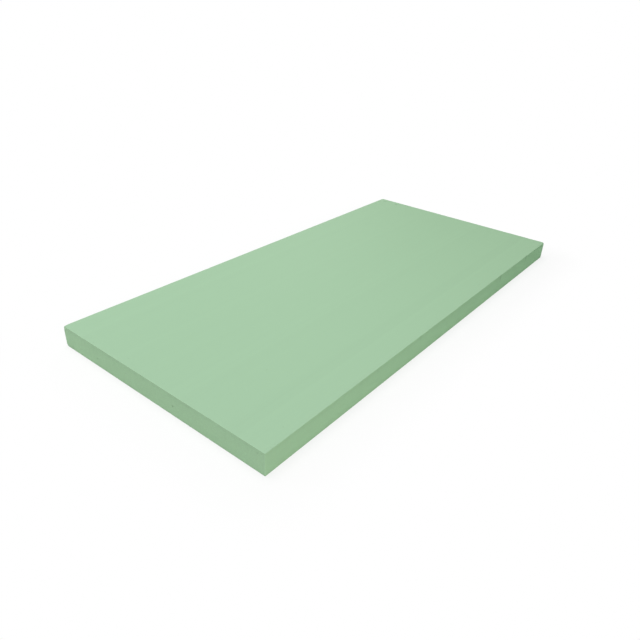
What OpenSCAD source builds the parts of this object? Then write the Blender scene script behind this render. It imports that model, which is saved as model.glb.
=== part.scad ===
// Extruded polystyrene (XPS) insulation board with smooth skins and square cut edges.
// Millimetres. +X runs along the extrusion, +Y across it and +Z up through the thickness.
// The origin is the middle of the underside, so the board lies flat on Z = 0.

/* [Board] */
// Length along the extrusion, from sawn end to sawn end
board_length = 1250; // [600:10:3000]
// Width across the extrusion, from trimmed edge to trimmed edge
board_width = 600; // [300:10:1250]
// Thickness over both skins
board_thickness = 50; // [20:5:200]

/* [Edges] */
// Radius of the arris where a skin meets a cut edge
arris_radius = 1; // [0.4:0.1:1.4]
// Radius in plan of the four upright corners
corner_radius = 1.5; // [1.5:0.5:20]

/* [Hidden] */
foam_green = [0.67, 0.80, 0.67];
$fn = 64;
// Centre of an upright corner's curve, measured from the middle of the board
corner_x = board_length / 2 - corner_radius;
corner_y = board_width / 2 - corner_radius;

// Half of the board's section: from the middle line out to a cut edge, with an eased arris
// on each skin. X is the distance out from the middle line and Y is the height. The section is
// trimmed at the middle line, because in a tight corner the arris circles would cross it.
module half_section(reach) {
    arris_x = reach - arris_radius;
    intersection() {
        square([reach, board_thickness]);
        union() {
            square([arris_x, board_thickness]);
            translate([0, arris_radius])
                square([reach, board_thickness - 2 * arris_radius]);
            for (arris_y = [arris_radius, board_thickness - arris_radius])
                translate([arris_x, arris_y])
                    circle(r = arris_radius);
        }
    }
}

// The foam between two facing upright corners: the half section drawn out to its mirror image
// along the line of an edge. length is the run of the edge and reach is how far it stands out.
module edge_strip(length, reach) {
    translate([0, length / 2, 0])
        rotate([90, 0, 0])
            linear_extrude(length)
                half_section(reach);
}

// One upright corner: the same section turned through a quarter circle, so that both arrises
// run round the corner without a break.
module upright_corner() {
    rotate_extrude(angle = 90)
        half_section(corner_radius);
}

module insulation_board() {
    color(foam_green)
        union() {
            // Across the whole width, between the corners at each end
            for (side = [0, 180])
                rotate([0, 0, 90 + side])
                    edge_strip(2 * corner_x, board_width / 2);
            // The two sawn ends, between the corners
            for (side = [0, 180])
                rotate([0, 0, side])
                    translate([corner_x, 0, 0])
                        edge_strip(2 * corner_y, corner_radius);
            for (end = [0, 1])
                for (side = [0, 1])
                    mirror([end, 0, 0])
                        mirror([0, side, 0])
                            translate([corner_x, corner_y, 0])
                                upright_corner();
        }
}

insulation_board();
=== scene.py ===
# %% [markdown]
# # An extruded polystyrene insulation board
#
# Extruded polystyrene (XPS) is a stiff foam of tiny closed cells. It leaves a flat die as one endless slab,
# so its two large faces keep a smooth, dense skin with faint lines along the run. The slab is then trimmed
# on both long sides and sawn to length, which leaves four dull faces of cut-open cells.
#
# The cells below build one such board. The camera and the studio come first, then the shape, then the
# finishes, and at the end the board takes the place of the plain fixed model.

# %% Load the fixed model
import math
import random

import bmesh
import bpy
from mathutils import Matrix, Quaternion, Vector


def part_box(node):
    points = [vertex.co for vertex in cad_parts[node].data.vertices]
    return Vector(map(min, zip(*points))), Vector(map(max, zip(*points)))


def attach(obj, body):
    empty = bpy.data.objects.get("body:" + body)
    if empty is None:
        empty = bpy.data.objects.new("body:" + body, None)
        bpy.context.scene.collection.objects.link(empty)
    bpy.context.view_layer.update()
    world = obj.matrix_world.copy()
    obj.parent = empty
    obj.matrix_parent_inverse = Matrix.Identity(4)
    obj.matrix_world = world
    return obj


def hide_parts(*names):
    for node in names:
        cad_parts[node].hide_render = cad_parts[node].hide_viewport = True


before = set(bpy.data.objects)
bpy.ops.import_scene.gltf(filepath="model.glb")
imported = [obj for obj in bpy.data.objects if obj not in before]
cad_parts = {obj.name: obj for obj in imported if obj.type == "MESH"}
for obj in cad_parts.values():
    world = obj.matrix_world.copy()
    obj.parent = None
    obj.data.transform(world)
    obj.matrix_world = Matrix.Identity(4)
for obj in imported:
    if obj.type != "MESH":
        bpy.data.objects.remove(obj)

print("Blender", bpy.app.version_string)

# %% [markdown]
# ## Measure the board
#
# Every size comes from the fixed model, so the new board can't drift away from it. One unit is a metre, and
# the board lies on the plane Z = 0 with its length along X and its width along Y. The board's own box is
# kept, to build from.

# %% Measure the board
MM = 0.001
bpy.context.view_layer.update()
low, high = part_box("insulation_board")
length, width, thickness = high - low
middle = (low + high) / 2
print(f"board {length:.3f} x {width:.3f} x {thickness:.3f} m")

# %% [markdown]
# ## Place the camera
#
# The board is seen from above one corner, so that its upper skin, one sawn end and one long edge all show.
# A camera looks along its own -Z axis. to_track_quat turns that axis to the aim and keeps the camera
# upright, and a second, small turn about the line of sight tilts the picture as a hand-held camera would.

# %% Place the camera
CAMERA_PLACE = Vector((-1.1285, -0.787, 0.701))
CAMERA_AIM = Vector((-0.1914, -0.0654, 0.025))
CAMERA_LENS = 32.4
CAMERA_ROLL = math.radians(2.61)

line_of_sight = (CAMERA_AIM - CAMERA_PLACE).to_track_quat("-Z", "Y")
tilt = Quaternion((0, 0, 1), CAMERA_ROLL)
bpy.ops.object.camera_add(location=CAMERA_PLACE, rotation=(line_of_sight @ tilt).to_euler())
camera = bpy.context.object
camera.name = "camera"
camera.data.lens = CAMERA_LENS
bpy.context.scene.camera = camera
bpy.context.scene.view_settings.view_transform = "Standard"
print(f"camera {(CAMERA_AIM - CAMERA_PLACE).length:.2f} m from its aim, lens {CAMERA_LENS} mm")

# %% [markdown]
# ## Helpers for shader nodes
#
# A material is a small network of nodes. A few short helpers keep such networks readable: they add a node
# with its plain values, feed a socket, do a sum, mix two colours and start a node group. A group is a
# network with named inputs and outputs, built once and then placed in several materials.

# %% Helpers for shader nodes
def add_node(tree, kind, values=None, **settings):
    """Add a node; values are its sockets' plain values by name, settings its own properties."""
    node = tree.nodes.new(kind)
    for setting, value in settings.items():
        setattr(node, setting, value)
    for socket, value in (values or {}).items():
        node.inputs[socket].default_value = value
    return node


def feed(tree, socket, term):
    """Give a socket its term: another node's output, or a plain number or colour."""
    if isinstance(term, bpy.types.NodeSocket):
        tree.links.new(term, socket)
    else:
        socket.default_value = term


def work_out(tree, operation, *terms):
    """Do a sum on the terms with a Math node and return its result."""
    node = add_node(tree, "ShaderNodeMath", operation=operation)
    for socket, term in zip(node.inputs, terms):
        feed(tree, socket, term)
    return node.outputs["Value"]


def work_out_vector(tree, operation, *terms):
    """Do a sum on vectors with a Vector Math node and return its result, a vector."""
    node = add_node(tree, "ShaderNodeVectorMath", operation=operation)
    for socket, term in zip(node.inputs, terms):
        feed(tree, socket, term)
    return node.outputs["Vector"]


def mix_colours(tree, share, first, second):
    """Mix two colours and return the result; a share of 0 is all the first."""
    node = add_node(tree, "ShaderNodeMix", data_type="RGBA")
    sockets = {socket.name: socket for socket in node.inputs if socket.enabled}
    feed(tree, sockets["Factor"], share)
    feed(tree, sockets["A"], first)
    feed(tree, sockets["B"], second)
    return next(socket for socket in node.outputs if socket.enabled)


def fade(tree, value, start, end, at_start, at_end):
    """Go smoothly from at_start to at_end while the value goes from start to end."""
    node = add_node(tree, "ShaderNodeMapRange", interpolation_type="SMOOTHSTEP")
    for name, term in zip(("Value", "From Min", "From Max", "To Min", "To Max"),
                          (value, start, end, at_start, at_end)):
        feed(tree, node.inputs[name], term)
    return node.outputs["Result"]


def grey(value):
    """Return a plain grey of that brightness as a colour."""
    return (value, value, value, 1)


print("shader node helpers ready")

# %% [markdown]
# ## Light the studio
#
# Soft light leaves soft shading, so the board is lit by a dim world on all sides and a few large square
# lamps. Light Path tells which kind of ray asks for a colour: the camera and mirror-like reflections see a
# plain white backdrop, and all other rays get the softer grey that lights the board.

# %% The world
AMBIENT = 0.321


def sees_backdrop(tree):
    """Return 1 for rays from the camera, a reflection or a clear surface, and 0 for the rest."""
    ray = add_node(tree, "ShaderNodeLightPath").outputs
    shown = work_out(tree, "MAXIMUM", ray["Is Camera Ray"], ray["Is Glossy Ray"])
    return work_out(tree, "MAXIMUM", shown, ray["Is Transmission Ray"])


world = bpy.data.worlds.new("studio")
world.use_nodes = True
world.node_tree.nodes.clear()
bpy.context.scene.world = world
tree = world.node_tree
sky = add_node(tree, "ShaderNodeBackground")
feed(tree, sky.inputs["Color"], mix_colours(tree, sees_backdrop(tree), grey(AMBIENT), grey(1)))
world_output = add_node(tree, "ShaderNodeOutputWorld")
tree.links.new(sky.outputs["Background"], world_output.inputs["Surface"])
print(f"world lights at {AMBIENT} and shows white")

# %% The lamps
def add_lamp(name, place, size, power):
    """Add a square lamp of a size in metres and a power in watts, facing the board's middle."""
    place = Vector(place)
    turn = (middle - place).to_track_quat("-Z", "Y").to_euler()
    bpy.ops.object.light_add(type="AREA", location=place, rotation=turn)
    lamp = bpy.context.object
    lamp.name = name
    lamp.data.shape = "SQUARE"
    lamp.data.size = size
    lamp.data.energy = power
    lamp.visible_camera = False


add_lamp("overhead_lamp", (-0.4, 0.3, 2.8), size=1.6, power=41.2)
add_lamp("front_lamp", (-1.6, -2.2, 0.9), size=0.8, power=18)
add_lamp("back_lamp", (-1.3, 1.7, 0.6), size=0.8, power=8.6)
add_lamp("right_lamp", (1.8, 1.6, 0.9), size=0.8, power=7.2)
print("lamps placed")

# %% [markdown]
# ## Lay the floor
#
# The floor is one large pale plane. Far from the board the camera sees it as the same white as the
# backdrop. Close to the board a share of its real shading shows too, so the board keeps a faint, soft shadow
# and looks as if it rests on something.

# %% Lay the floor
FLOOR_SIZE = 12
FLOOR_GREY = 0.9
SHADOW_REACH = 0.15
SHADOW_SHARE = 0.2

bpy.ops.mesh.primitive_plane_add(size=FLOOR_SIZE, location=(middle.x, middle.y, low.z))
floor = bpy.context.object
floor.name = "floor"
bpy.ops.object.transform_apply(location=True, rotation=True, scale=True)

floor_paint = bpy.data.materials.new("pale_floor")
floor_paint.use_nodes = True
tree = floor_paint.node_tree
tree.nodes.clear()
place = add_node(tree, "ShaderNodeTexCoord").outputs["Object"]
from_middle = work_out_vector(tree, "ABSOLUTE", work_out_vector(tree, "SUBTRACT", place, middle))
past_edge = work_out_vector(tree, "SUBTRACT", from_middle, (high - low) / 2)
outside = add_node(tree, "ShaderNodeVectorMath", operation="LENGTH")
feed(tree, outside.inputs[0], work_out_vector(tree, "MAXIMUM", past_edge, (0, 0, 0)))
shading_shown = fade(tree, outside.outputs["Value"], start=0, end=SHADOW_REACH,
                     at_start=SHADOW_SHARE, at_end=0)
white_shown = work_out(tree, "MULTIPLY", sees_backdrop(tree), work_out(tree, "SUBTRACT", 1, shading_shown))
matt = add_node(tree, "ShaderNodeBsdfDiffuse")
feed(tree, matt.inputs["Color"], mix_colours(tree, sees_backdrop(tree), grey(FLOOR_GREY), grey(1)))
white = add_node(tree, "ShaderNodeEmission", {"Color": grey(1), "Strength": 1})
blend = add_node(tree, "ShaderNodeMixShader")
feed(tree, blend.inputs["Fac"], white_shown)
tree.links.new(matt.outputs["BSDF"], blend.inputs[1])
tree.links.new(white.outputs["Emission"], blend.inputs[2])
tree.links.new(blend.outputs["Shader"], add_node(tree, "ShaderNodeOutputMaterial").inputs["Surface"])
floor.data.materials.append(floor_paint)
print(f"floor {FLOOR_SIZE} m wide, shadow shows up to {SHADOW_REACH} m from the board")

# %% [markdown]
# ## Shape the slab
#
# A board that was sawn square could be drawn as a box, but no real edge is a perfect line. So a cube of the
# board's size has its four upright corners rounded in plan first, and the rims of both skins after that.
# Rounding in this order carries each rim cleanly round the corners, as it is on the real board.

# %% Helpers for edit mode
def choose(piece):
    """Select nothing but the piece, and make it the active one."""
    bpy.ops.object.select_all(action="DESELECT")
    piece.select_set(True)
    bpy.context.view_layer.objects.active = piece


def begin_edit(piece):
    """Choose the piece and open it in edit mode."""
    choose(piece)
    bpy.ops.object.mode_set(mode="EDIT")


def end_edit():
    """Go back to object mode."""
    bpy.ops.object.mode_set(mode="OBJECT")


def pick(piece, kind, wanted):
    """In edit mode, select only the wanted vertices, edges or faces, and return how many there are."""
    bpy.ops.mesh.select_mode(type=kind)
    bpy.ops.mesh.select_all(action="DESELECT")
    shape = bmesh.from_edit_mesh(piece.data)
    parts = {"VERT": shape.verts, "EDGE": shape.edges, "FACE": shape.faces}[kind]
    picked = [part for part in parts if wanted(part)]
    for part in picked:
        part.select_set(True)
    bmesh.update_edit_mesh(piece.data)
    return len(picked)


print("edit mode helpers ready")

# %% Round the upright corners
CORNER_RADIUS = 1.5 * MM
CORNER_STEPS = 4


def is_upright_edge(edge):
    """True for an edge that runs from one skin to the other."""
    return abs(edge.verts[0].co.z - edge.verts[1].co.z) > thickness / 2


bpy.ops.mesh.primitive_cube_add(size=1, location=middle, scale=(length, width, thickness))
board = bpy.context.object
board.name = "foam_board"
bpy.ops.object.transform_apply(location=True, rotation=True, scale=True)
begin_edit(board)
corners = pick(board, "EDGE", is_upright_edge)
bpy.ops.mesh.bevel(offset=CORNER_RADIUS, segments=CORNER_STEPS, affect="EDGES")
print(f"{corners} upright corners rounded to {CORNER_RADIUS / MM:.1f} mm")

# %% Round the rims of both skins
ARRIS_RADIUS = 1 * MM
ARRIS_STEPS = 4
STEEP = 0.5


def is_rim(edge):
    """True for an edge between a skin and an upright face."""
    upright = [abs(face.normal.z) < STEEP for face in edge.link_faces]
    return any(upright) and not all(upright)


rims = pick(board, "EDGE", is_rim)
bpy.ops.mesh.bevel(offset=ARRIS_RADIUS, segments=ARRIS_STEPS, affect="EDGES")
print(f"{rims} rim edges rounded to {ARRIS_RADIUS / MM:.0f} mm")

# %% [markdown]
# ## Give each face its own finish
#
# The board carries three finishes: the skin from the die, the long edges that a cutter trimmed, and the
# ends that a saw crossed. A face belongs to one of them by the way it points, which is simplest to tell now,
# while every face is still flat. Later cuts hand a face's finish on to all of its parts.

# %% Give each face its own finish
FINISHES = ("foam_skin", "trimmed_foam", "sawn_foam")
SKIN_FROM = 0.7


def finish_of(face):
    """Return the name of the finish that a face carries."""
    if abs(face.normal.z) > SKIN_FROM:
        return "foam_skin"
    return "trimmed_foam" if abs(face.normal.y) > abs(face.normal.x) else "sawn_foam"


for number, name in enumerate(FINISHES):
    board.data.materials.append(bpy.data.materials.new(name))
    faces = pick(board, "FACE", lambda face: finish_of(face) == name)
    board.active_material_index = number
    bpy.ops.object.material_slot_assign()
    print(f"{name}: {faces} faces")

# %% [markdown]
# ## Cut a grid
#
# Flat faces have nothing between their corners that could bend. Bisect slices the whole board with a plane,
# so three sets of slices give it a fine grid to press dents and lines into. Extra slices lie on both sides
# of each die line, a shallow groove that a speck on the die's lip drags into the skin.

# %% Cut a grid
SKIN_GRID = 7 * MM
LAYER = 4 * MM
EDGE_STRIP = 2 * MM
DIE_LINES = [62 * MM, 108 * MM, 184 * MM, 213 * MM, 221 * MM, 310 * MM, 414 * MM, 532 * MM, 545 * MM]
LINE_HALF_WIDTH = 1.2 * MM
ALONG = Vector((1, 0, 0))
ACROSS = Vector((0, 1, 0))
UP = Vector((0, 0, 1))


def evenly(start, end, step):
    """Return the places that divide start to end into equal steps of about that size."""
    count = round((end - start) / step)
    return [start + (end - start) * number / count for number in range(1, count)]


def cut_across(axis, places):
    """Cut the open piece right through, square to the axis, at each place along it."""
    for place in places:
        bpy.ops.mesh.select_all(action="SELECT")
        bpy.ops.mesh.bisect(plane_co=axis * place, plane_no=axis)


line_places = [low.y + line for line in DIE_LINES]
rows = [place for place in evenly(low.y, high.y, SKIN_GRID)
        if all(abs(place - line) > 2 * LINE_HALF_WIDTH for line in line_places)]
for line in line_places:
    rows.extend((line - LINE_HALF_WIDTH, line, line + LINE_HALF_WIDTH))
rows.extend((low.y + EDGE_STRIP, high.y - EDGE_STRIP))
columns = evenly(low.x, high.x, SKIN_GRID)
columns.extend((low.x + EDGE_STRIP, high.x - EDGE_STRIP))
cut_across(ALONG, columns)
cut_across(ACROSS, rows)
cut_across(UP, evenly(low.z, high.z, LAYER))
print(f"{len(bmesh.from_edit_mesh(board.data).faces)} faces after cutting")

# %% Draw the die lines
LINE_DEPTH = 0.1 * MM
SAME_PLACE = 0.01 * MM


def on_line(vertex, line, level):
    """True for a vertex of one skin on a die line."""
    return abs(vertex.co.y - line) < SAME_PLACE and abs(vertex.co.z - level) < SAME_PLACE


for line in line_places:
    for level, inwards in ((low.z, UP), (high.z, -UP)):
        pick(board, "VERT", lambda vertex: on_line(vertex, line, level))
        bpy.ops.transform.translate(value=inwards * LINE_DEPTH)
print(f"{len(line_places)} die lines drawn in each skin, {LINE_DEPTH / MM:.2f} mm deep")

# %% [markdown]
# ## Press in the knocks
#
# Foam dents wherever something touches it. Proportional editing is made for this: one vertex is moved, and
# its neighbours follow it less and less up to a given reach, which leaves a soft hollow. The faces round
# each knock are subdivided first, so that the hollow has enough vertices to be round.

# %% Helpers that press a hollow
COARSE = 3 * MM


def spot(along, across, up):
    """Return a place on the board, in millimetres from its low left front corner."""
    return low + Vector((along, across, up)) * MM


def press(place, push, reach):
    """Move the vertex nearest to the place by the push, and let what lies within reach follow it."""
    shape = bmesh.from_edit_mesh(board.data)
    nearest = min(shape.verts, key=lambda vertex: (vertex.co - place).length_squared)
    bpy.ops.mesh.select_all(action="DESELECT")
    nearest.select_set(True)
    bmesh.update_edit_mesh(board.data)
    bpy.ops.transform.translate(value=push, use_proportional_edit=True, proportional_size=reach,
                                proportional_edit_falloff="SMOOTH")


def refine(place, reach, cuts):
    """Subdivide the faces within reach of the place that are still coarse."""
    def is_coarse(face):
        near = (face.calc_center_median() - place).length < reach
        return near and max(edge.calc_length() for edge in face.edges) > COARSE

    pick(board, "FACE", is_coarse)
    bpy.ops.mesh.subdivide(number_cuts=cuts, ngon=False)
    bpy.ops.mesh.select_mode(type="VERT")


print("ready to press")

# %% [markdown]
# ## Scrape the long edges
#
# A long edge gets scraped when boards slide past each other. A scrape is deepest where it starts and runs
# out on its way down. It could be cut away with a Boolean, but a blunt knock crushes foam and leaves it in
# place, so each scrape is a row of soft hollows here, every one shallower than the one before.

# %% Scrape gouges down the long edges
GOUGE_FALL = 25 * MM
GOUGE_STEPS = 7
GOUGE_DEPTH = 0.7 * MM
GOUGE_REACH = 7 * MM
GOUGE_ROOM = 12 * MM
GOUGE_CUTS = 2
# Each gouge: how far along and up it starts, in millimetres, and its share of the full depth.
FRONT_GOUGES = [(926, 50, 1.2), (1106, 50, 1), (325, 50, 0.3), (495, 50, 0.4), (620, 34, 0.3),
                (1238, 46, 0.5)]
BACK_GOUGES = [(412, 50, 0.9), (790, 50, 0.4)]


def gouge(place, inwards, share):
    """Scrape a gouge down a cut face: a row of hollows from the place down, ever shallower."""
    for way_down in (1 / 4, 3 / 4):
        refine(place - UP * GOUGE_FALL * way_down, GOUGE_ROOM, GOUGE_CUTS)
    for step in range(GOUGE_STEPS):
        way_down = step / GOUGE_STEPS
        depth = GOUGE_DEPTH * share * (1 - way_down)
        press(place - UP * GOUGE_FALL * way_down, inwards * depth, GOUGE_REACH)


for along, up, share in FRONT_GOUGES:
    gouge(spot(along, 0, up), ACROSS, share)
for along, up, share in BACK_GOUGES:
    gouge(spot(along, width / MM, up), -ACROSS, share)
print(f"{len(FRONT_GOUGES) + len(BACK_GOUGES)} gouges, {len(bmesh.from_edit_mesh(board.data).faces)} faces")

# %% [markdown]
# ## Prick pits and dents
#
# Here and there a large cell is cut open and leaves a pit in a sawn end, and whatever the board leant or lay
# on leaves shallow dents. Each is one press with its own depth and reach, after the faces round it have been
# divided finely enough to stay round. The sides that are seldom seen get a few pits of the same size at
# places drawn by chance. The seed is fixed, so every run draws the same ones.

# %% Prick small pits
PIT_CUTS = 5
PIT_REACH = 2.8 * MM
# Each pit in the left end: how far across, how far up and how deep, in millimetres.
END_PITS = [(236, 23, 2), (478, 20, 1.4), (560, 22, 0.7), (222, 17, 0.7), (17, 41, 0.9), (8, 44, 0.5)]
# How far across the dents near the left end's upper rim lie, in millimetres.
RIM_DENTS = [78, 133, 188, 319, 347, 406, 430]
RIM_DENT_HEIGHT = 44
RIM_DENT_DEPTH = 0.5 * MM
RIM_DENT_REACH = 6 * MM
# Each dent in the upper skin: how far along, how far across, how deep and its reach, in millimetres.
SKIN_DENTS = [(19, 392, 0.34, 8), (6, 495, 0.5, 4), (70, 23, 0.45, 4), (175, 162, 0.45, 4),
              (830, 19, 0.5, 4), (18, 4, 0.4, 4), (28, 4, 0.4, 4), (1231, 528, 1.2, 9),
              (1231, 575, 1.2, 9), (1214, 590, 0.7, 7)]


def pit(place, inwards, depth, reach):
    """Press one small round pit."""
    refine(place, 2 * reach, PIT_CUTS)
    press(place, inwards * depth, reach)


for across, up, depth in END_PITS:
    pit(spot(0, across, up), ALONG, depth * MM, PIT_REACH)
for across in RIM_DENTS:
    pit(spot(0, across, RIM_DENT_HEIGHT), ALONG, RIM_DENT_DEPTH, RIM_DENT_REACH)
for along, across, depth, reach in SKIN_DENTS:
    pit(spot(along, across, thickness / MM), -UP, depth * MM, reach * MM)
print(f"left end: {len(END_PITS)} pits and {len(RIM_DENTS)} dents, upper skin: {len(SKIN_DENTS)} dents")

# %% Prick the hidden sides as lightly
HIDDEN_SEED = 11
HIDDEN_PITS = 4
HIDDEN_DEPTH = 0.9 * MM
UNDER_DEPTH = 0.5 * MM
UNDER_REACH = 4 * MM
EDGE_ROOM = 25 * MM
RIM_ROOM = 8 * MM

chance = random.Random(HIDDEN_SEED)


def by_chance(size, room):
    """Return a chance place along a side of that size, in millimetres, with room left at both ends."""
    return chance.uniform(room, size - room) / MM


for number in range(HIDDEN_PITS):
    up = by_chance(thickness, RIM_ROOM)
    pit(spot(length / MM, by_chance(width, EDGE_ROOM), up), -ALONG, HIDDEN_DEPTH, PIT_REACH)
    up = by_chance(thickness, RIM_ROOM)
    pit(spot(by_chance(length, EDGE_ROOM), width / MM, up), -ACROSS, HIDDEN_DEPTH, PIT_REACH)
    under = spot(by_chance(length, EDGE_ROOM), by_chance(width, EDGE_ROOM), 0)
    pit(under, UP, UNDER_DEPTH, UNDER_REACH)
print(f"{HIDDEN_PITS} pits each in the right end, the rear edge and the lower skin")

# %% [markdown]
# ## Wear the sawn rims and the corners
#
# A saw tears a few cells out of the rims that it leaves, and a board lands on its corners. A bevel of uneven
# width could stand for such wear, but it would look too regular. Many small presses at chance places do
# better on the rims. Each corner that was knocked gets one larger push towards the middle of the board.

# %% Nibble the sawn rims
NIBBLES = 10
NIBBLE_CUTS = 3
NIBBLE_ROOM = 6 * MM
NIBBLE_DEPTHS = (0.15 * MM, 0.35 * MM)
NIBBLE_REACHES = (2 * MM, 4 * MM)

sawn_rims = [(along, up) for along in (0, length / MM) for up in (0, thickness / MM)]
for along, up in sawn_rims:
    for number in range(NIBBLES):
        rim = spot(along, by_chance(width, EDGE_ROOM), up)
        refine(rim, NIBBLE_ROOM, NIBBLE_CUTS)
        inwards = Vector((math.copysign(1, middle.x - rim.x), 0, math.copysign(1, middle.z - rim.z)))
        press(rim, inwards * chance.uniform(*NIBBLE_DEPTHS), chance.uniform(*NIBBLE_REACHES))
print(f"{NIBBLES} nibbles along each of {len(sawn_rims)} sawn rims")

# %% Blunt the corners
CORNER_ROOM = 16 * MM
CORNER_CUTS = 2
# Each blunted corner: its place, how deep it is pushed in and its reach, in millimetres.
BLUNT_CORNERS = [((0, 600, 0), 1.3, 5), ((0, 600, 50), 1.1, 12),
                 ((1250, 0, 50), 1.3, 6), ((1250, 600, 50), 1.2, 6)]


def blunt(corner, depth, reach):
    """Push a corner of the board in towards the middle."""
    refine(corner, CORNER_ROOM, CORNER_CUTS)
    inwards = Vector([math.copysign(1, gap) for gap in middle - corner]).normalized()
    press(corner, inwards * depth, reach)


for corner, depth, reach in BLUNT_CORNERS:
    blunt(spot(*corner), depth * MM, reach * MM)
end_edit()
print(f"{len(BLUNT_CORNERS)} corners blunted, {len(board.data.polygons)} faces")

# %% [markdown]
# ## Let the surfaces wander a little
#
# A foam slab sets while it moves, so its skins are very slightly wavy, and a saw leaves a cut face a little
# uneven. A Displace modifier with a Clouds texture gives both without any modelling by hand. Its middle
# level is 1, so it only ever pushes inwards and the board keeps its outer size. A vertex group keeps the
# rougher one off the skins.

# %% Let the surfaces wander a little
SKIN_WAVE = 110 * MM
SKIN_WAVE_DEPTH = 0.1 * MM
CUT_WAVE = 9 * MM
CUT_WAVE_DEPTH = 0.08 * MM


def apply_modifier(piece, modifier):
    """Turn what a modifier does into the piece's own mesh."""
    bpy.context.view_layer.objects.active = piece
    bpy.ops.object.modifier_apply(modifier=modifier.name)


def wander(piece, name, wave, depth, group):
    """Push a piece's surface in by up to the depth, in waves of about that length."""
    clouds = bpy.data.textures.new(name, "CLOUDS")
    clouds.noise_scale = wave
    modifier = piece.modifiers.new(name, "DISPLACE")
    modifier.texture = clouds
    modifier.texture_coords = "LOCAL"
    modifier.mid_level = 1
    modifier.strength = depth
    modifier.vertex_group = group
    apply_modifier(piece, modifier)


cut_faces = [face for face in board.data.polygons if FINISHES[face.material_index] != "foam_skin"]
cut_vertices = sorted({vertex for face in cut_faces for vertex in face.vertices})
board.vertex_groups.new(name="cut_foam").add(cut_vertices, 1, "REPLACE")
wander(board, "wavy_skin", SKIN_WAVE, SKIN_WAVE_DEPTH, "")
wander(board, "uneven_cut", CUT_WAVE, CUT_WAVE_DEPTH, "cut_foam")
print(f"{len(cut_vertices)} vertices of the cut faces made uneven")

# %% [markdown]
# ## Remember where the hollows are
#
# Crushed foam is denser and gathers dust, so a hollow looks darker than the foam round it. The darkening
# that the finishes give a hollow is partly that and partly painted shade. How far each vertex lies below the
# plain rounded board is kept on the mesh as an attribute, a number for each vertex that a material can read.

# %% Remember where the hollows are
def past_corner(first, second, radius):
    """Return how far a point is past a rounded corner, from how far it is past the two sides."""
    first += radius
    second += radius
    return math.hypot(max(first, 0), max(second, 0)) + min(max(first, second), 0) - radius


def depth_below_surface(point):
    """Return how deep a point lies below the plain board's rounded surface."""
    past = [abs(offset) - size / 2 for offset, size in zip(point - middle, high - low)]
    past_outline = past_corner(past[0], past[1], CORNER_RADIUS)
    return -past_corner(past_outline, past[2], ARRIS_RADIUS)


depths = [depth_below_surface(vertex.co) for vertex in board.data.vertices]
hollow = board.data.attributes.new("hollow", "FLOAT", "POINT")
hollow.data.foreach_set("value", depths)
print(f"the surface lies {min(depths) / MM:.2f} to {max(depths) / MM:.1f} mm inside the plain board's")

# %% [markdown]
# ## Shade it smoothly
#
# Smooth shading blends the light across neighbouring faces, but only where they meet at a shallow angle.
# The Weighted Normal modifier then lets the large faces set the direction at a rim, so that the rounding
# stays narrow and the flat faces stay flat right up to it.

# %% Shade it smoothly
SMOOTH_UP_TO = math.radians(40)

choose(board)
bpy.ops.object.shade_smooth_by_angle(angle=SMOOTH_UP_TO)
weighted = board.modifiers.new("weighted_normals", "WEIGHTED_NORMAL")
weighted.keep_sharp = True
apply_modifier(board, weighted)
print("slab shaded smoothly")

# %% [markdown]
# ## Effects that the finishes share
#
# All three finishes need the same few effects, each with values of its own: noise that can be stretched
# into streaks, the place on the board, cut-open cells and worn edges. The skin adds a soft band. Each effect
# is built once as a node group. A group has named sockets, so the same group placed twice can look quite
# different.

# %% Helpers for node groups
NUMBER = "NodeSocketFloat"
VECTOR = "NodeSocketVector"
COLOUR = "NodeSocketColor"


def new_group(name, inputs, outputs):
    """Start a node group with sockets of those names and kinds; return it and both its ends."""
    group = bpy.data.node_groups.new(name, "ShaderNodeTree")
    for direction, sockets in (("INPUT", inputs), ("OUTPUT", outputs)):
        for socket, kind in sockets.items():
            group.interface.new_socket(name=socket, in_out=direction, socket_type=kind)
    given = group.nodes.new("NodeGroupInput").outputs
    result = group.nodes.new("NodeGroupOutput").inputs
    return group, given, result


def use_group(tree, group, terms):
    """Place a group, feed its inputs by name and return its outputs."""
    node = add_node(tree, "ShaderNodeGroup", node_tree=group)
    for name, term in terms.items():
        feed(tree, node.inputs[name], term)
    return node.outputs


def about_zero(tree, value):
    """Stretch a value that goes from 0 to 1 so that it goes from -1 to 1."""
    return work_out(tree, "MULTIPLY_ADD", value, 2, -1)


print("node group helpers ready")

# %% Stretched noise
noise_group, given, result = new_group(
    "stretched_noise",
    {"Position": VECTOR, "Waves per Metre": VECTOR, "Detail": NUMBER, "Seed": NUMBER},
    {"Value": NUMBER})
stretched = work_out_vector(noise_group, "MULTIPLY", given["Position"], given["Waves per Metre"])
noise = add_node(noise_group, "ShaderNodeTexNoise", {"Scale": 1}, noise_dimensions="4D")
feed(noise_group, noise.inputs["Vector"], stretched)
feed(noise_group, noise.inputs["W"], given["Seed"])
feed(noise_group, noise.inputs["Detail"], given["Detail"])
feed(noise_group, result["Value"], about_zero(noise_group, noise.outputs["Fac"]))
print("stretched_noise goes from -1 to 1, mostly near 0")

# %% A long band
BAND_SOFTNESS = 1.5

band_group, given, result = new_group(
    "long_band",
    {"Position": VECTOR, "Across": NUMBER, "Half Width": NUMBER},
    {"Value": NUMBER})
split = add_node(band_group, "ShaderNodeSeparateXYZ")
feed(band_group, split.inputs["Vector"], given["Position"])
from_line = work_out(band_group, "SUBTRACT", split.outputs["Y"], given["Across"])
from_line = work_out(band_group, "ABSOLUTE", from_line)
outer = work_out(band_group, "MULTIPLY", given["Half Width"], BAND_SOFTNESS)
in_band = fade(band_group, from_line, start=given["Half Width"], end=outer, at_start=1, at_end=0)
feed(band_group, result["Value"], in_band)
print("long_band is 1 along a line, and fades out past its half width")

# %% Where a place lies on the board
HALF = (0.5, 0.5, 0.5)

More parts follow.
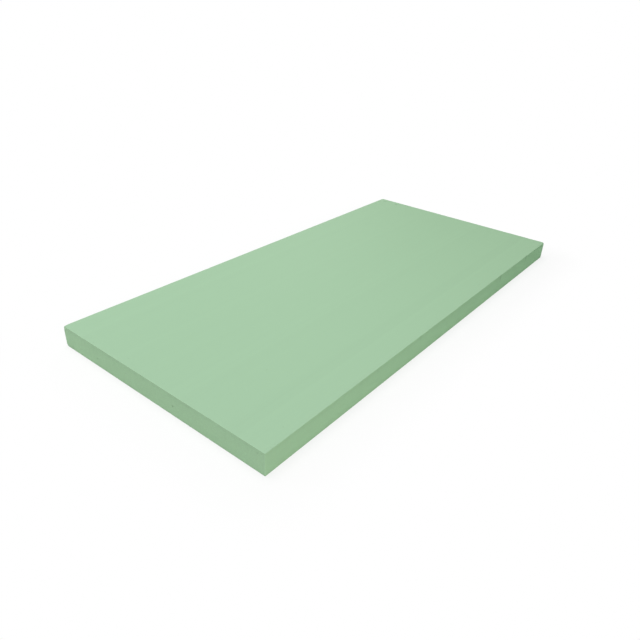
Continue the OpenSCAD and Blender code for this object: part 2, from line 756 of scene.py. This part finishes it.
zones_group, given, result = new_group(
    "board_zones",
    {"Position": VECTOR, "Middle": VECTOR, "Size": VECTOR},
    {"To Skin": NUMBER, "To Edge": NUMBER, "Along": NUMBER, "Up": NUMBER})
from_middle = work_out_vector(zones_group, "SUBTRACT", given["Position"], given["Middle"])
half_size = work_out_vector(zones_group, "MULTIPLY", given["Size"], HALF)
outwards = work_out_vector(zones_group, "ABSOLUTE", from_middle)
inwards = work_out_vector(zones_group, "SUBTRACT", half_size, outwards)
split = add_node(zones_group, "ShaderNodeSeparateXYZ")
feed(zones_group, split.inputs["Vector"], inwards)
to_end, to_side, to_skin = split.outputs
nearer = work_out(zones_group, "MINIMUM", to_end, to_side)
farther = work_out(zones_group, "MAXIMUM", to_end, to_side)
to_edge = work_out(zones_group, "MAXIMUM", nearer, work_out(zones_group, "MINIMUM", farther, to_skin))
split = add_node(zones_group, "ShaderNodeSeparateXYZ")
feed(zones_group, split.inputs["Vector"], work_out_vector(zones_group, "DIVIDE", from_middle, half_size))
feed(zones_group, result["To Skin"], to_skin)
feed(zones_group, result["To Edge"], to_edge)
feed(zones_group, result["Along"], split.outputs["X"])
feed(zones_group, result["Up"], split.outputs["Z"])
print("board_zones gives metres to a skin and an edge, and -1 to 1 along the board and up it")

# %% Cut-open cells
cells_group, given, result = new_group(
    "foam_cells",
    {"Position": VECTOR, "Cell Size": NUMBER},
    {"Height": NUMBER, "Tone": NUMBER})
per_metre = work_out(cells_group, "DIVIDE", 1, given["Cell Size"])
walls = add_node(cells_group, "ShaderNodeTexVoronoi", feature="F1")
feed(cells_group, walls.inputs["Vector"], given["Position"])
feed(cells_group, walls.inputs["Scale"], per_metre)
feed(cells_group, result["Height"], walls.outputs["Distance"])
shade = add_node(cells_group, "ShaderNodeSeparateColor")
feed(cells_group, shade.inputs["Color"], walls.outputs["Color"])
feed(cells_group, result["Tone"], about_zero(cells_group, shade.outputs["Red"]))
print("foam_cells gives bowls between walls, and a tone for each cell")

# %% Worn edges
WEAR_WAVES = (90, 90, 90)
WEAR_FROM = -0.5
WEAR_FULL = 0.5

wear_group, given, result = new_group(
    "edge_wear",
    {"Color": COLOUR, "Worn Color": COLOUR, "Position": VECTOR, "To Edge": NUMBER, "Reach": NUMBER,
     "Amount": NUMBER},
    {"Color": COLOUR})
patchy = use_group(wear_group, noise_group, {
    "Position": given["Position"], "Waves per Metre": WEAR_WAVES, "Detail": 3, "Seed": 5})["Value"]
near_edge = fade(wear_group, given["To Edge"], start=0, end=given["Reach"], at_start=1, at_end=0)
in_patch = fade(wear_group, patchy, start=WEAR_FROM, end=WEAR_FULL, at_start=0, at_end=1)
worn = work_out(wear_group, "MULTIPLY", near_edge, in_patch)
worn = work_out(wear_group, "MULTIPLY", worn, given["Amount"])
feed(wear_group, result["Color"], mix_colours(wear_group, worn, given["Color"], given["Worn Color"]))
print("edge_wear pales the edges in patches")

# %% [markdown]
# ## Finish the skin
#
# The die leaves the skin dull satin, a shade paler than the foam inside. Its variation is slight and runs
# with the board: broad bands, fine streaks behind every speck on the die, and a faint mottle where the cells
# lie just under the surface. These could be painted on by hand, but noise has no seams or repeats. Each is
# the same noise, stretched in another way, and shifts the base green by two per cent at most. A few soft
# bands at fixed places and a slow drift of the green along the board lie over them, hollows are darker with
# dust and painted shade, and the rims are rubbed pale in patches.

# %% Helpers for the finishes
HOLLOW_FROM = 0.2 * MM


def start_finish(name):
    """Open a finish's material; return its tree, its shader, and the places and zones on the board."""
    finish = bpy.data.materials[name]
    finish.use_nodes = True
    tree = finish.node_tree
    place = add_node(tree, "ShaderNodeTexCoord").outputs["Object"]
    zones = use_group(tree, zones_group, {"Position": place, "Middle": middle, "Size": high - low})
    return tree, tree.nodes["Principled BSDF"].inputs, place, zones


def noise_at(tree, place, waves, detail, seed):
    """Return noise with so many waves per metre along X, Y and Z."""
    return use_group(tree, noise_group, {
        "Position": place, "Waves per Metre": waves, "Detail": detail, "Seed": seed})["Value"]


def shift_tone(tree, colour, value, strength):
    """Lighten a colour where the value is above 0 and darken it where it is below."""
    factor = work_out(tree, "MULTIPLY_ADD", value, strength, 1)
    return work_out_vector(tree, "MULTIPLY", colour, factor)


def shift_hue(tree, colour, value, shift):
    """Shift a colour's red, green and blue each by its own share of the value."""
    factor = work_out_vector(tree, "MULTIPLY_ADD", value, shift, (1, 1, 1))
    return work_out_vector(tree, "MULTIPLY", colour, factor)


# Hollows darken with dust in the crushed foam, and with painted shade.
def darken_hollows_dust_and_shade(tree, colour, full_depth, strength):
    """Darken a colour where the surface was pressed in, fully from the full depth on."""
    depth = add_node(tree, "ShaderNodeAttribute", attribute_name="hollow").outputs["Fac"]
    crushed = fade(tree, depth, start=HOLLOW_FROM, end=full_depth, at_start=0, at_end=-1)
    return shift_tone(tree, colour, crushed, strength)


def add_relief(tree, shader, height, depth):
    """Bump the surface by the height, where a height of 1 stands for the depth."""
    bump = add_node(tree, "ShaderNodeBump", {"Strength": 1, "Distance": depth})
    feed(tree, bump.inputs["Height"], height)
    tree.links.new(bump.outputs["Normal"], shader["Normal"])


print("finish helpers ready")

# %% The skin's colours and patterns
SKIN_GREEN = (0.395, 0.610, 0.400)
WORN_GREEN = (0.44, 0.65, 0.44, 1)
BANDS = (0.2, 40, 0)
STREAKS = (0.4, 330, 0)
# Each soft band: how far its line lies from the front edge, its half width, and its tone.
DIE_BANDS = [(78 * MM, 13 * MM, -0.011), (59 * MM, 4 * MM, 0.006), (196 * MM, 11 * MM, -0.005),
             (220 * MM, 3 * MM, 0.007), (242 * MM, 6 * MM, 0.006), (412 * MM, 4 * MM, 0.005),
             (521 * MM, 9 * MM, -0.004), (543 * MM, 9 * MM, 0.005)]
MOTTLE = (45, 70, 45)
GRAIN = (420, 420, 420)
BANDS_TONE = 0.009
STREAKS_TONE = 0.02
MOTTLE_TONE = 0.005
GRAIN_TONE = 0.011
SKIN_HUE = (-0.008, 0, -0.02)
print(f"{len(DIE_BANDS)} soft bands, and streaks about {1 / STREAKS[1] / MM:.0f} mm apart")

# %% Finish the skin
DENTED_FULL = 0.5 * MM
# How much the skin's hollows darken: dust in the crushed foam, and painted shade.
DENTED_TONE = 0.08
SKIN_WEAR = 0.3
SKIN_WEAR_REACH = 2.5 * MM
SKIN_ROUGHNESS = 0.62
ROUGHNESS_SHIFT = 0.06
SKIN_SHINE = 0.06
SKIN_CELL = 0.6 * MM
STREAKS_RELIEF = 0.5
CELLS_RELIEF = 0.15
SKIN_RELIEF = 0.03 * MM

tree, skin, place, zones = start_finish("foam_skin")
bands = noise_at(tree, place, BANDS, detail=2, seed=1)
streaks = noise_at(tree, place, STREAKS, detail=2, seed=2)
mottle = noise_at(tree, place, MOTTLE, detail=3, seed=3)
grain = noise_at(tree, place, GRAIN, detail=1, seed=4)
colour = shift_tone(tree, SKIN_GREEN, bands, BANDS_TONE)
for across, half_width, tone in DIE_BANDS:
    band = use_group(tree, band_group, {
        "Position": place, "Across": low.y + across, "Half Width": half_width})["Value"]
    colour = shift_tone(tree, colour, band, tone)
colour = shift_tone(tree, colour, streaks, STREAKS_TONE)
colour = shift_tone(tree, colour, mottle, MOTTLE_TONE)
colour = shift_tone(tree, colour, grain, GRAIN_TONE)
colour = shift_hue(tree, colour, zones["Along"], SKIN_HUE)
# Darker hollows: dust in the crushed foam, and painted shade.
colour = darken_hollows_dust_and_shade(tree, colour, DENTED_FULL, DENTED_TONE)
colour = use_group(tree, wear_group, {
    "Color": colour, "Worn Color": WORN_GREEN, "Position": place, "To Edge": zones["To Edge"],
    "Reach": SKIN_WEAR_REACH, "Amount": SKIN_WEAR})["Color"]
feed(tree, skin["Base Color"], colour)
roughness = work_out(tree, "MULTIPLY_ADD", streaks, ROUGHNESS_SHIFT, SKIN_ROUGHNESS)
feed(tree, skin["Roughness"], roughness)
skin["Specular IOR Level"].default_value = SKIN_SHINE
cells = use_group(tree, cells_group, {"Position": place, "Cell Size": SKIN_CELL})
peel = work_out(tree, "MULTIPLY", streaks, STREAKS_RELIEF)
peel = work_out(tree, "MULTIPLY_ADD", cells["Height"], CELLS_RELIEF, peel)
add_relief(tree, skin, peel, SKIN_RELIEF)
print("foam_skin finished")

# %% [markdown]
# ## Finish the cut faces
#
# A cut face shows the inside of the foam: thousands of tiny cells sliced open, which scatter the light and
# look duller and a little darker than the skin. The foam is densest close under each skin, so a narrow
# darker zone runs along both rims. The cutter and the saw leave faint upright marks. Modelling the cells
# would take millions of faces, so a cell pattern sets their tone and bumps the surface.
#
# A cutter leaves a closer surface than a saw. So the marks, the mottle, the dense zone and the relief show
# in full on the sawn ends, and at half strength on the long edges. One function makes both kinds of face,
# because only their values differ.

# %% Colours of the cut faces
TRIMMED_GREEN = (0.350, 0.576, 0.341)
SAWN_GREEN = (0.389, 0.600, 0.382)
CUT_MOTTLE = (60, 60, 110)
CUT_GRAIN = (380, 380, 380)
CUT_CELL = 0.7 * MM
MARKS_TONE = 0.02
CUT_MOTTLE_TONE = 0.018
CUT_GRAIN_TONE = 0.05
DENSE_TONE = 0.04
DENSE_FROM = 12 * MM
DENSE_FULL = 1 * MM
DENSE_WAVER = 3 * MM
# How much the cut faces' hollows darken: dust in the crushed foam, and painted shade.
GOUGED_TONE = 0.18
GOUGED_FULL = 1 * MM
CUT_WEAR = 0.15
CUT_WEAR_REACH = 2 * MM
print(f"cells {CUT_CELL / MM:.1f} mm wide, dense zone {DENSE_FROM / MM:.0f} mm wide")

# %% [markdown]
# ## Paint light and shade on the cut faces, and let their green drift
#
# With one plain green the upright faces don't come out right in this light. The foot of the long edges looks
# too dark, and their green too even from end to end. Other lamps might mend that, but they would change the
# skin as well, so the finish does it here. Both kinds of face carry painted shade towards the upper rim, two
# or three per cent darker than half way up, and as much painted light towards the lower rim. The long edges
# also lose red and blue from left to right, and carry more painted light in their lower half, which lifts
# the shade that the floor casts on their foot. How much of the drift in red and blue a real board carries
# isn't known.

# %% Painted light and shade, and drifts of hue, on the cut faces
NO_SHIFT = (0, 0, 0)
TRIMMED_HUE = (-0.052, 0, -0.025)
# Painted light on the foot of the long edges, which lifts the shade that the floor casts there.
TRIMMED_FOOT_PAINTED_LIGHT = (0.055, 0.038, 0.050)
# Painted shade towards the upper rim of each kind of face, and as much painted light towards its lower rim.
TRIMMED_PAINTED_SHADE_UP = -0.03
SAWN_PAINTED_SHADE_UP = -0.02
# Up goes from -1 at the lower rim of a face to 1 at its upper rim.
LOWER_RIM = -1
PAINTED_LIGHT_UP_TO = 0.04
print(f"the foot of the long edges is up to {max(TRIMMED_FOOT_PAINTED_LIGHT):.1%} paler")

# %% Relief of the cut faces
CUT_ROUGHNESS = 0.88
CUT_ROUGHNESS_SHIFT = 0.1
CUT_SHINE = 0.03
CUT_CELLS_RELIEF = 0.5
MARKS_RELIEF = 0.8
CUT_RELIEF = 0.06 * MM
print(f"relief {CUT_RELIEF / MM:.2f} mm, roughness {CUT_ROUGHNESS}")

# %% Finish the cut faces
TRIM_MARKS = (160, 0, 9)
SAW_MARKS = (0, 190, 14)


def finish_cut(name, green, hue, painted_shade_up, foot, marks, contrast, cell_tone, seed):
    """Finish one kind of cut face.

    The green shifts by hue along the board. The up tone paints shade towards the upper rim and light towards
    the lower rim, and the foot paints more light on the lower rim. The contrast is how strongly marks,
    mottle, grain, dense zone and relief show.
    """
    tree, shader, place, zones = start_finish(name)
    marked = noise_at(tree, place, marks, detail=2, seed=seed)
    mottle = noise_at(tree, place, CUT_MOTTLE, detail=3, seed=seed + 1)
    grain = noise_at(tree, place, CUT_GRAIN, detail=2, seed=seed + 2)
    cells = use_group(tree, cells_group, {"Position": place, "Cell Size": CUT_CELL})
    colour = shift_tone(tree, green, marked, MARKS_TONE * contrast)
    colour = shift_tone(tree, colour, mottle, CUT_MOTTLE_TONE * contrast)
    colour = shift_tone(tree, colour, grain, CUT_GRAIN_TONE * contrast)
    colour = shift_tone(tree, colour, cells["Tone"], cell_tone)
    colour = shift_hue(tree, colour, zones["Along"], hue)
    # Painted shade towards the upper rim and painted light towards the lower rim.
    colour = shift_tone(tree, colour, zones["Up"], painted_shade_up)
    # Painted light on the foot of the face, which lifts the shade that the floor casts there.
    painted_light_at_foot = fade(tree, zones["Up"], start=LOWER_RIM, end=PAINTED_LIGHT_UP_TO, at_start=1, at_end=0)
    colour = shift_hue(tree, colour, painted_light_at_foot, foot)
    from_skin = work_out(tree, "MULTIPLY_ADD", mottle, DENSE_WAVER, zones["To Skin"])
    dense = fade(tree, from_skin, start=DENSE_FULL, end=DENSE_FROM, at_start=-1, at_end=0)
    colour = shift_tone(tree, colour, dense, DENSE_TONE * contrast)
    # Darker hollows: dust in the crushed foam, and painted shade.
    colour = darken_hollows_dust_and_shade(tree, colour, GOUGED_FULL, GOUGED_TONE)
    colour = use_group(tree, wear_group, {
        "Color": colour, "Worn Color": WORN_GREEN, "Position": place, "To Edge": zones["To Edge"],
        "Reach": CUT_WEAR_REACH, "Amount": CUT_WEAR})["Color"]
    feed(tree, shader["Base Color"], colour)
    roughness = work_out(tree, "MULTIPLY_ADD", grain, CUT_ROUGHNESS_SHIFT, CUT_ROUGHNESS)
    feed(tree, shader["Roughness"], roughness)
    shader["Specular IOR Level"].default_value = CUT_SHINE
    rough = work_out(tree, "MULTIPLY_ADD", cells["Height"], CUT_CELLS_RELIEF, grain)
    rough = work_out(tree, "MULTIPLY_ADD", marked, MARKS_RELIEF, rough)
    add_relief(tree, shader, rough, CUT_RELIEF * contrast)
    print(f"{name} finished, its marks at {contrast:.0%} and its cells at {cell_tone:.0%}")


finish_cut("trimmed_foam", TRIMMED_GREEN, TRIMMED_HUE, TRIMMED_PAINTED_SHADE_UP, TRIMMED_FOOT_PAINTED_LIGHT, TRIM_MARKS,
           contrast=0.5, cell_tone=0.03, seed=20)
finish_cut("sawn_foam", SAWN_GREEN, NO_SHIFT, SAWN_PAINTED_SHADE_UP, NO_SHIFT, SAW_MARKS,
           contrast=1, cell_tone=0.08, seed=30)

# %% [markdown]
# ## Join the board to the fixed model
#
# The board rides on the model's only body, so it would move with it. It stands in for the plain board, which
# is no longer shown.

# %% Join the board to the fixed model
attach(board, "root")
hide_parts("insulation_board")
